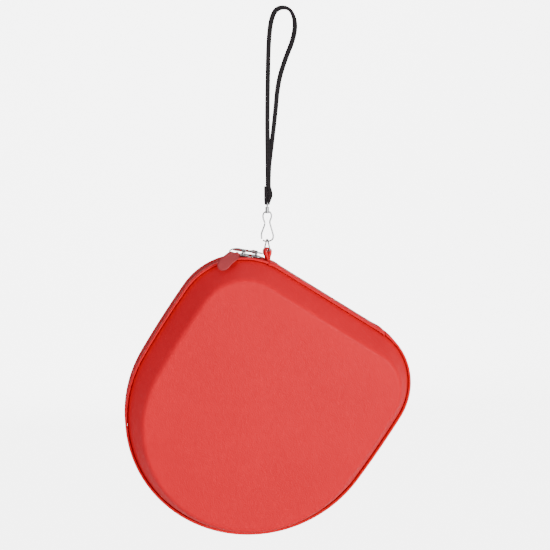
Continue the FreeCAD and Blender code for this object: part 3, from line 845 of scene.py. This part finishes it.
class OBJECT_OT_spine_cover(bpy.types.Operator):
    """Fabric strip that folds along the spine and joins the two halves"""

    bl_idname = "object.spine_cover"
    bl_label = "Spine strip"

    def execute(self, context):
        sizes = context.scene.case_sizes
        run = rim_run(sizes, 120, True)

        def section(share):
            ends = min(share, 1 - share)
            puff = 0.35 + 0.75 * math.exp(-(((ends - 0.05) / 0.045) ** 2))
            tuck = 0.9 * math.exp(-((ends / 0.012) ** 2))
            points = []
            for step in range(29):
                height = -8.25 + 16.5 * step / 28
                edge = max(0.0, abs(height) - 6.3) / 1.95
                crown = puff * (1 - (height / 8.3) ** 2)
                points.append((0.1 - crown + 1.9 * edge**2.4 + tuck, height))
            for step in range(15):
                height = 7.4 - 14.8 * step / 14
                edge = max(0.0, abs(height) - 6.3) / 1.95
                points.append((1.1 + 0.95 * edge**2 + tuck * 0.5, height))
            return points

        cover = piece("spine_cover", band_mesh("spine", run, section, 1), MATERIALS["trim"])
        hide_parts("spine_strip")
        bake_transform(cover)
        return {"FINISHED"}


class OBJECT_OT_case_inside(bpy.types.Operator):
    """Net pocket with its binding in the lid, and the paddle strap in the back"""

    bl_idname = "object.case_inside"
    bl_label = "Inside pieces"

    def execute(self, context):
        sizes = context.scene.case_sizes
        ring = mixed(outline(sizes, False, 6.1), outline(sizes, True, 4.2), 0.93)
        low = min(p.y for p in ring)
        area, rows, rise = 0.0, [], (NET_TOP - low - NET_EDGE) / NET_ROWS
        for step in range(NET_ROWS + 1):
            y = low + NET_EDGE + rise * step
            crossings = [
                a.x + (b.x - a.x) * (y - a.y) / (b.y - a.y)
                for a, b in zip(ring, ring[1:] + ring[:1])
                if (a.y - y) * (b.y - y) < 0
            ]
            half = max(crossings) - NET_EDGE
            belly = NET_BELLY * math.sin(math.pi * step / NET_ROWS)
            shares = [2 * k / NET_COLUMNS - 1 for k in range(NET_COLUMNS + 1)]
            rows.append([(half * a, y, NET_HEIGHT - belly * math.cos(a * 1.5)) for a in shares])
            area += 2 * half * rise * (0.5 if step in (0, NET_ROWS) else 1)
        bm = bmesh.new()
        made = [[bm.verts.new(hang(*p)) for p in row] for row in rows]
        for here, after in zip(made, made[1:]):
            for k in range(NET_COLUMNS):
                bm.faces.new((here[k], here[k + 1], after[k + 1], after[k]))
        net = piece("net_sheet", outside_out(bm, "net_sheet"), MATERIALS["net"])
        finished(net, "front_half", "net", "net_pocket")
        self.band("binding_band", 83.0, 10.0, 10.0, 20.25, 1, "front_half", "net_binding", 1.0)
        self.band("elastic_band", 60.0, 20.0, 30.0, -22.05, -1, "back_half", "paddle_strap", 1.2)
        self.patches()
        return {"FINISHED"}

    def band(self, name, half, y, width, height, side, body, node, thick):
        """A woven elastic band across a half, bowed a little off the lining."""
        steps = [half * (2 * k / 60 - 1) for k in range(61)]
        bow = [side * 0.5 * math.cos(x / half * math.pi / 2) for x in steps]
        centres = [hang(x, y, height - lift) / MM for x, lift in zip(steps, bow)]
        normals = [Vector((0, -side, 0))] * 61
        mesh = strip_mesh(name, centres, normals, [width] * 61, [thick] * 61, 24, 7.0)
        finished(piece(name, mesh, MATERIALS["elastic"]), body, "elastic", node)

    def patches(self):
        """Two sewn patches over the ends of the elastic band, in one piece."""
        joined = bmesh.new()
        for end in (-1, 1):
            last = PATCH_STEPS - 1
            xs = [end * (PATCH_FROM + PATCH_LONG * k / last) for k in range(PATCH_STEPS)]
            centres = [hang(x, 20.0, -22.4) / MM for x in xs]
            widths = [34.0 - 3.0 * (abs(2 * k - last) / last) ** 6 for k in range(PATCH_STEPS)]
            normals = [Vector((0, 1, 0))] * PATCH_STEPS
            mesh = strip_mesh("patch", centres, normals, widths, [1.7] * PATCH_STEPS, 24, 7.0)
            joined.from_mesh(mesh)
            bpy.data.meshes.remove(mesh)
        obj = piece("sewn_patches", outside_out(joined, "patches"), MATERIALS["red"])
        finished(obj, "back_half", "red_leather", "strap_patches")


# ---------------------------------------------------------------- sliders and pull tongues


def rolled(sizes, angle, along, across, high):
    """A point on a slider: along and across the zipper, and high above the corner's centre."""
    turn = math.radians(angle) + along / (sizes.corner_radius / MM)
    centre = Vector((-sizes.corner_across / MM, sizes.corner_up / MM))
    place = centre + high * Vector((math.cos(turn), math.sin(turn)))
    return hang(place.x, place.y, across)


def slider_mesh(sizes, name, angle, across_eye):
    """A zipper slider: domed top plate, flat under plate, neck and a bent loop."""
    bm = bmesh.new()
    rim = sizes.corner_radius / MM
    low, high = rim - 0.2, rim + 1.0
    shield = oval(32, 3.2)
    blocks = [
        (3.8, 3.8, low, high, 0.35, 0.82),
        (3.8, 3.8, rim - 3.7, rim - 2.8, 0.0, 0.96),
        (1.1, 0.8, rim - 2.85, low + 0.1, 0.0, 1.0),
    ]
    for half_s, half_w, z0, z1, dome, taper in blocks:
        levels = (
            (0.9, z0), (1.0, z0 + 0.15), (1.0, z1 - 0.35), (0.95, z1 - 0.1), (taper * 0.9, z1)
        )
        rows = []
        for scale, z in levels:
            long, wide = half_s * scale, half_w * scale
            row = [(a * long * (1.0 - 0.16 * a), b * wide, z) for a, b in shield]
            rows.append([bm.verts.new(rolled(sizes, angle, *p)) for p in row])
        for here, after in zip(rows, rows[1:]):
            bridge(bm, here, after)
        for row, z in ((rows[0], z0), (rows[-1], z1 + dome)):
            domed(bm, row, rolled(sizes, angle, 0, 0, z))
    loop_rows, bar = [], oval(12, 3)
    for step in range(25):
        turn = math.pi * (step / 24 * 1.5 - 0.25)
        reach_a, reach_h = 1.22 * math.cos(turn), 1.22 * math.sin(turn)
        row = []
        for a, b in bar:
            run, rise = reach_a + a * 0.36 * math.cos(turn), reach_h + a * 0.36 * math.sin(turn)
            rise = max(rise, high + 0.05 - (rim + 3.4))
            wide = b * 0.78
            place = (run, wide, rim + 3.4 + rise) if across_eye else (wide, run, rim + 3.4 + rise)
            row.append(bm.verts.new(rolled(sizes, angle, *place)))
        loop_rows.append(row)
    for here, after in zip(loop_rows, loop_rows[1:]):
        bridge(bm, here, after)
    for row in (loop_rows[0], loop_rows[-1]):
        bm.faces.new(row)
    for end in (-1, 1):
        foot = []
        for z in (high - 0.15, rim + 2.6):
            flat = [(end * 0.9 + a * 0.4, b * 0.78) for a, b in bar]
            flat = flat if across_eye else [(b, a) for a, b in flat]
            foot.append([bm.verts.new(rolled(sizes, angle, a, b, z)) for a, b in flat])
        bridge(bm, *foot)
        bm.faces.new(foot[0])
        bm.faces.new(foot[1])
    return outside_out(bm, name)


class OBJECT_OT_zip_sliders(bpy.types.Operator):
    """The two zipper sliders"""

    bl_idname = "object.zip_sliders"
    bl_label = "Zipper sliders"

    def execute(self, context):
        sizes = context.scene.case_sizes
        for word, angle, across in (("front", FRONT_SLIDER, True), ("back", BACK_SLIDER, False)):
            mesh = slider_mesh(sizes, f"slider_{word}_body", angle, across)
            obj = piece(f"slider_{word}_body", mesh, MATERIALS["slider"])
            finished(obj, f"{word}_slider", "slider_metal", f"slider_{word}")
            coat_node(f"pull_ring_{word}", "wire")
        return {"FINISHED"}


def tongue_pieces(word, hold, line, face, width, trim):
    """A leather pull tongue: sewn body, fold round the ring's wire, and edge stitches."""
    count = 46
    centres, shares = [], [k / (count - 1) for k in range(count)]
    start, bend, end = (Vector(p) for p in line)
    for share in shares:
        rest = 1 - share
        centres.append(hold + start * rest**2 + bend * 2 * share * rest + end * share**2)
    length = sum((b - a).length for a, b in zip(centres, centres[1:]))
    widths = []
    for share in shares:
        far = (1 - share) * length
        near = share * length
        tip = math.sqrt(max(0.0, 1 - (1 - min(far, width / 2) / (width / 2)) ** 2))
        shoulder = 0.4 + 0.6 * min(1.0, near / 2.6) ** 0.7
        widths.append(max(0.6, width * tip * shoulder))
    face = Vector(face).normalized()
    normals = [face] * count
    thick = [1.55 - 0.35 * (1 - min(1.0, (1 - s) * length / 1.0)) for s in shares]
    body = strip_mesh(f"tongue_{word}", centres, normals, widths, thick, 24, 4.0)
    obj = piece(f"tongue_{word}_leather", body, MATERIALS["pull"])
    finished(obj, f"{word}_tongue", "pull_leather", f"pull_tongue_{word}")
    along = (centres[3] - centres[0]).normalized()
    normal = (face - along * face.dot(along)).normalized()
    fold, fold_normals = [], []
    for step in range(FOLD_STEPS):
        turn = math.radians(-125 + 250 * step / (FOLD_STEPS - 1))
        spoke = -along * math.cos(turn) + normal * math.sin(turn)
        fold.append(hold + spoke * FOLD_RADIUS)
        fold_normals.append(spoke)
    for near, sign in ((0, -1), (-1, 1)):
        leg = hold + along * 3.4 + normal * 0.42 * sign
        fold.insert(0 if near == 0 else len(fold), leg)
        fold_normals.insert(0 if near == 0 else len(fold_normals), normal * sign)
    fold_count = len(fold)
    fold_widths, fold_thick = [FOLD_WIDTH] * fold_count, [FOLD_THICK] * fold_count
    strap = strip_mesh(f"fold_{word}", fold, fold_normals, fold_widths, fold_thick, 16, 5.0)
    leather_fold = piece(f"tongue_{word}_fold", strap, MATERIALS["pull"])
    finished(leather_fold, f"{word}_tongue", "pull_leather")
    rows = {-1: [], 1: []}
    for i in range(7, count - 3):
        step = (centres[i + 1] - centres[i - 1]).normalized()
        level = (face - step * face.dot(step)).normalized()
        across = step.cross(level)
        for sign, row in rows.items():
            edge = across * sign * (widths[i] / 2 - 1.05)
            row.append((centres[i] + edge + level * thick[i] * 0.5) * MM)
    made = beads(
        f"tongue_{word}_stitches",
        [rows[-1] + rows[1][::-1]],
        MATERIALS["pull"],
        Pitch=trim.stitch_pitch * 0.8,
        Along=0.0014,
        Across=0.0004,
        High=0.00034,
    )
    finished(made, f"{word}_tongue", "pull_leather")


class OBJECT_OT_pull_tongues(bpy.types.Operator):
    """Leather tongues folded over the pull rings"""

    bl_idname = "object.pull_tongues"
    bl_label = "Pull tongues"

    def execute(self, context):
        trim = context.scene.case_trim
        width = trim.tongue_width / MM
        path = ((-1.2, -0.9, 0.1), (-8.0, -9.2, -0.2), (-15.2, -10.8, -9.2))
        tongue_pieces("front", FRONT_HOLD, path, (0.0, -0.72, 0.69), width, trim)
        turned = math.radians(BACK_SLIDER) + HANG_ANGLE
        tangent = Vector((-math.sin(turned), 0, math.cos(turned)))
        aim = (tangent * 0.66 + Vector((0, 0.75, -0.2))).normalized()
        path = (aim * 1.4, aim * 11 + Vector((0, 0.6, 0.3)), aim * 21.6)
        normal = aim.cross(tangent)
        normal = normal if normal.y > 0 else -normal
        tongue_pieces("back", BACK_HOLD, path, normal, width, trim)
        return {"FINISHED"}


# ---------------------------------------------------------------- strap, hook and tab


class OBJECT_OT_wrist_strap(bpy.types.Operator):
    """Flat braided wrist strap on its smooth line, and its folded sewn end"""

    bl_idname = "object.wrist_strap"
    bl_label = "Wrist strap"

    def execute(self, context):
        trim = context.scene.case_trim
        data = bpy.data.curves.new("strap_line", "CURVE")
        data.dimensions = "3D"
        data.resolution_u = 16
        spline = data.splines.new("NURBS")
        spline.points.add(len(CORD_ROUTE) - 1)
        for point, place in zip(spline.points, CORD_ROUTE):
            point.co = (*place, 1.0)
        spline.order_u = 3
        spline.use_endpoint_u = True
        guide = bpy.data.objects.new("strap_line", data)
        context.scene.collection.objects.link(guide)
        graph = context.evaluated_depsgraph_get()
        line = bpy.data.meshes.new_from_object(guide.evaluated_get(graph), depsgraph=graph)
        path = [v.co.copy() for v in line.vertices]
        bpy.data.objects.remove(guide)
        if len(path) < 20:
            raise RuntimeError("the strap's line has too few points")
        centres = [p / MM for p in path]
        count = len(centres)
        normals = []
        for i in range(count):
            step = centres[min(i + 1, count - 1)] - centres[max(i - 1, 0)]
            share = i / (count - 1)
            lean = 0.35 * math.sin(share * 9.0)
            level = Vector((lean, -1.0, 0.12))
            normals.append(level - step.normalized() * level.dot(step.normalized()))
        width, thick = trim.strap_width / MM, trim.strap_thickness / MM
        pinch = [0.3 * math.exp(-(((i / count - 0.47) / 0.05) ** 2)) for i in range(count)]
        widths = [width * (1 - share) for share in pinch]
        mesh = strip_mesh("strap", centres, normals, widths, [thick] * count, 20, 2.6)
        strap = piece("wrist_braid", mesh, MATERIALS["braid"])
        finished(strap, "strap", "black_braid", "wrist_cord")
        self.sewn_end()
        return {"FINISHED"}

    def sewn_end(self):
        """A cut layer on the left and a fuller one on the right, joined through the eye."""
        layers = {
            "left": [
                (-1.25, -133.0, 2.1), (-1.25, -134.4, 2.2), (-1.25, -137.5, 2.2),
                (-1.2, -141.0, 2.25), (-1.2, -144.0, 2.2), (-1.35, -145.6, 1.6),
                (-1.45, -146.9, 1.1),
            ],
            "right": [
                (1.15, -131.4, 2.9), (1.3, -133.6, 3.3), (1.75, -136.6, 4.1),
                (1.95, -139.6, 4.4), (1.6, -142.2, 3.7), (1.2, -144.4, 2.6),
                (1.3, -145.7, 1.6), (1.4, -146.9, 1.1),
            ],
        }
        joined = bmesh.new()
        for places in layers.values():
            spine = smooth_line([Vector((HOOK_X + x, 0, z)) for x, z, _ in places], 6)
            wide = [v.x for v in smooth_line([Vector((w, 0, 0)) for _, _, w in places], 6)]
            deep = [4.7 - 1.6 * (k / (len(spine) - 1)) ** 3 for k in range(len(spine))]
            normals = [Vector((0, -1, 0))] * len(spine)
            mesh = strip_mesh("leaf", spine, normals, wide, deep, 18, 3.4)
            joined.from_mesh(mesh)
            bpy.data.meshes.remove(mesh)
        under = ((-1.7, -146.1), (-0.9, -146.5), (0.0, -146.5), (0.9, -146.5), (1.7, -146.1))
        bar = smooth_line([Vector((HOOK_X + x, 0, z)) for x, z in under], 4)
        count = len(bar)
        normals = [Vector((0, 0, 1))] * count
        mesh = strip_mesh("bar", bar, normals, [2.3] * count, [1.2] * count, 16, 2.6)
        joined.from_mesh(mesh)
        bpy.data.meshes.remove(mesh)
        obj = piece("strap_folded_end", outside_out(joined, "folded_end"), MATERIALS["braid"])
        finished(obj, "strap", "black_braid", "strap_sewn_end")
        rows = [
            [Vector((HOOK_X + x, -2.42, z)) * MM for x in (-1.9, -0.4, 1.1, 2.8)]
            for z in (-136.0, -136.9, -140.6, -141.5)
        ]
        made = beads(
            "strap_end_stitches",
            rows,
            MATERIALS["dark_thread"],
            Pitch=0.0012,
            Along=0.0011,
            Across=0.0004,
            High=0.0005,
        )
        finished(made, "strap", "black_braid")


def smooth_line(points, steps):
    """A line through points with smooth bends between them."""
    result = []
    for i in range(len(points) - 1):
        a, b = points[i], points[i + 1]
        before = points[i - 1] if i else a * 2 - b
        after = points[i + 2] if i + 2 < len(points) else b * 2 - a
        for k in range(steps):
            t = k / steps
            result.append(
                0.5
                * (
                    2 * a
                    + (b - before) * t
                    + (2 * before - 5 * a + 4 * b - after) * t * t
                    + (3 * a - before - 3 * b + after) * t**3
                )
            )
    return result + [points[-1]]


class OBJECT_OT_strap_tab(bpy.types.Operator):
    """Folded tab that hangs the case on its wire ring"""

    bl_idname = "object.strap_tab"
    bl_label = "Strap tab"

    def execute(self, context):
        # Across, thickness and height of the leaf, from the rim over the ring and back.
        line = [
            (1.0, 0.9, -192.4), (1.05, 1.1, -190.4), (1.2, 1.75, -188.0), (1.6, 2.5, -185.8),
            (2.05, 2.1, -183.9), (2.15, 1.4, -182.6), (1.3, 1.1, -181.6), (0.0, 1.0, -181.25),
            (-1.3, 1.1, -181.6), (-2.15, 1.4, -182.6), (-2.05, 2.1, -183.9), (-1.4, 2.5, -185.8),
            (-0.8, 1.75, -188.0), (-0.25, 1.1, -190.4), (-0.1, 0.9, -192.4),
        ]
        turned = Vector((math.cos(TAB_TURN), math.sin(TAB_TURN), 0))
        middle = Vector((HOOK_X, 0, -184.5))
        curve = smooth_line([Vector(place) for place in line], 6)
        centres = [Vector((HOOK_X, 0, p.z)) + turned * p.x for p in curve]
        thick = [p.y for p in curve]
        normals = [p - middle for p in centres]
        mesh = strip_mesh("tab", centres, normals, [4.9] * len(centres), thick, 16, 5.0)
        tab = piece("folded_tab", mesh, MATERIALS["trim"])
        finished(tab, "back_half", "red_leather", "strap_tab")
        across = turned.cross(Vector((0, 0, 1)))
        outer = [p + n.normalized() * t / 2 for p, n, t in zip(centres, normals, thick)]
        rows = [
            [(p + across * y) * MM for p in part]
            for y in (-1.9, 1.9)
            for part in (outer[4:30], outer[-30:-4])
        ]
        made = beads(
            "tab_stitches",
            rows,
            MATERIALS["thread"],
            Pitch=0.0016,
            Along=0.0011,
            Across=0.0003,
            High=0.0002,
        )
        finished(made, "back_half", "red_leather")
        return {"FINISHED"}


class OBJECT_OT_hook_finish(bpy.types.Operator):
    """Plating of the wire hook, its gate, the swivel and the tab's ring"""

    bl_idname = "object.hook_finish"
    bl_label = "Hook and swivel"

    def execute(self, context):
        for node in ("hook_frame", "hook_gate", "swivel_barrel", "swivel_eye", "tab_ring"):
            coat_node(node, "wire")
        return {"FINISHED"}


# ---------------------------------------------------------------- stage


class OBJECT_OT_case_stage(bpy.types.Operator):
    """Camera, pale floor and soft studio lights"""

    bl_idname = "object.case_stage"
    bl_label = "Stage"

    def execute(self, context):
        scene = context.scene
        lens = bpy.data.cameras.new("camera")
        lens.lens, lens.sensor_width = 81.82, 36.0
        camera = bpy.data.objects.new("camera", lens)
        scene.collection.objects.link(camera)
        camera.location = (-0.1450267, -0.9404168, 0.0216528)
        aim = Vector((-0.0034425, 0.0224376, -0.2082716))
        camera.rotation_euler = (aim - camera.location).to_track_quat("-Z", "Y").to_euler()
        scene.camera = camera
        self.floor()
        self.lights(scene)
        return {"FINISHED"}

    def floor(self):
        """A pale sweep that runs from the floor up behind the case."""
        bm = bmesh.new()
        profile = [(-3.0, GROUND), (0.6, GROUND)]
        for step in range(13):
            turn = math.pi / 2 * step / 12
            out, up = math.sin(turn) - 1, 1 - math.cos(turn)
            profile.append((SWEEP_BACK + SWEEP_RADIUS * out, GROUND + SWEEP_RADIUS * up))
        profile.append((SWEEP_BACK, 3.0))
        rows = [[bm.verts.new((x, y, z)) for x in (-4.0, 4.0)] for y, z in profile]
        for here, after in zip(rows, rows[1:]):
            bm.faces.new((here[0], here[1], after[1], after[0]))
        made, tree, shader, where = material_of("pale_paper", (0.9, 0.9, 0.9), 0.9)
        fibre = tree.nodes.new("ShaderNodeTexNoise")
        fibre.inputs["Scale"].default_value = 300.0
        tree.links.new(where.outputs["Object"], fibre.inputs["Vector"])
        shaded(tree, shader, fibre.outputs[0], (0.88, 0.88, 0.88), (0.92, 0.92, 0.92))
        seen = tree.nodes.new("ShaderNodeLightPath")
        tree.links.new(seen.outputs["Is Camera Ray"], shader.inputs["Emission Color"])
        shader.inputs["Emission Strength"].default_value = PAPER_GLOW
        mesh = bpy.data.meshes.new("sweep")
        bm.to_mesh(mesh)
        bm.free()
        sweep = piece("pale_sweep", mesh, made)

    def lights(self, scene):
        """An even room with one broad key low on the right."""
        world = bpy.data.worlds.new("studio")
        scene.world = world
        world.use_nodes = True
        glow = world.node_tree.nodes["Background"]
        glow.inputs["Color"].default_value = (1.0, 1.0, 1.0, 1.0)
        glow.inputs["Strength"].default_value = ROOM_GLOW
        spots = (
            ("key", (0.95, -1.55, -0.25), 0.9, 27.0),
            ("fill", (-1.3, -1.2, 0.1), 1.2, 5.0),
            ("top", (0.3, 0.3, 1.3), 1.2, 2.5),
            ("behind", (0.0, 0.9, 0.3), 1.6, 10.0),
        )
        for name, place, size, power in spots:
            data = bpy.data.lights.new(name, "AREA")
            data.shape, data.size, data.energy = "DISK", size, power
            lamp = bpy.data.objects.new(name, data)
            scene.collection.objects.link(lamp)
            lamp.location = place
            target = Vector((-0.02, 0, -0.3)) if name != "behind" else Vector((0, 1.6, 0.0))
            lamp.rotation_euler = (target - lamp.location).to_track_quat("-Z", "Y").to_euler()


# ---------------------------------------------------------------- panel and run


STEPS = (
    OBJECT_OT_case_stage,
    OBJECT_OT_wrist_strap,
    OBJECT_OT_case_halves,
    OBJECT_OT_case_rim,
    OBJECT_OT_zip_teeth,
    OBJECT_OT_spine_cover,
    OBJECT_OT_case_inside,
    OBJECT_OT_zip_sliders,
    OBJECT_OT_pull_tongues,
    OBJECT_OT_strap_tab,
    OBJECT_OT_hook_finish,
)


class VIEW3D_PT_paddle_case(bpy.types.Panel):
    """Lists the case's pieces and sizes"""

    bl_label = "Paddle Case"
    bl_idname = "VIEW3D_PT_paddle_case"
    bl_space_type = "VIEW_3D"
    bl_region_type = "UI"
    bl_category = "Paddle Case"

    def draw(self, context):
        layout = self.layout
        for step in STEPS:
            layout.operator(step.bl_idname)
        for name, _ in GROUPS:
            group, box = getattr(context.scene, name), layout.box()
            for key in group.__annotations__:
                box.prop(group, key)


GROUPS = (
    ("case_sizes", PaddleCaseSizes),
    ("case_trim", PaddleCaseTrim),
    ("case_colours", PaddleCaseColours),
)


def register():
    for name, group in GROUPS:
        bpy.utils.register_class(group)
        setattr(bpy.types.Scene, name, PointerProperty(type=group))
    for made in (*STEPS, VIEW3D_PT_paddle_case):
        bpy.utils.register_class(made)


def unregister():
    for made in reversed((*STEPS, VIEW3D_PT_paddle_case)):
        bpy.utils.unregister_class(made)
    for name, group in reversed(GROUPS):
        delattr(bpy.types.Scene, name)
        bpy.utils.unregister_class(group)


def main():
    register()
    make_materials(bpy.context.scene.case_colours)
    for step in STEPS:
        group, call = step.bl_idname.split(".")
        if getattr(getattr(bpy.ops, group), call)() != {"FINISHED"}:
            raise RuntimeError(f"{step.bl_label} did not finish")


if __name__ == "__main__":
    main()
